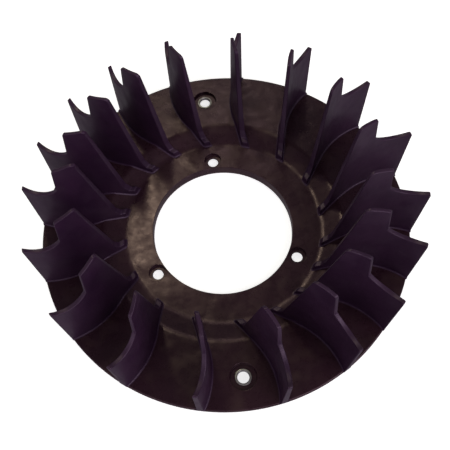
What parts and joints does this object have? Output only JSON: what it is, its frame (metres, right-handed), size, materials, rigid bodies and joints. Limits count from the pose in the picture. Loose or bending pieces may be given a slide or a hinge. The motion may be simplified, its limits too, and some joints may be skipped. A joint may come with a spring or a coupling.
{
  "type": "flywheel cooling fan",
  "caption": "Dished plastic fan ring with a large bore and tall curved blades that bolts to the face of a small engine's flywheel.",
  "frame": {"origin": "on the bore axis, at the end face of the locating collar, which is the lowest point of the fan", "axes": "+Z along the bore axis towards the blades; the two rim screw holes lie on the Y axis; one of the three hub screw holes lies on +Y"},
  "size_m": [0.22, 0.22, 0.077],
  "materials": {
    "black_plastic_disc": "satin black, slightly glossy where the deck catches the light",
    "black_plastic_blade": "satin black with fine moulding marks",
    "steel_bush": "bright zinc-plated"
  },
  "bodies": {
    "root": {"fan_disc": "black_plastic_disc", "screw_bush_rear": "steel_bush", "screw_bush_front": "steel_bush", "blade_01": "black_plastic_blade", "blade_02": "black_plastic_blade", "blade_03": "black_plastic_blade", "blade_04": "black_plastic_blade", "blade_05": "black_plastic_blade", "blade_06": "black_plastic_blade", "blade_07": "black_plastic_blade", "blade_08": "black_plastic_blade", "blade_09": "black_plastic_blade", "blade_10": "black_plastic_blade", "blade_11": "black_plastic_blade", "blade_12": "black_plastic_blade", "blade_13": "black_plastic_blade", "blade_14": "black_plastic_blade", "blade_15": "black_plastic_blade", "blade_16": "black_plastic_blade", "blade_17": "black_plastic_blade", "blade_18": "black_plastic_blade"}
  },
  "joints": []
}
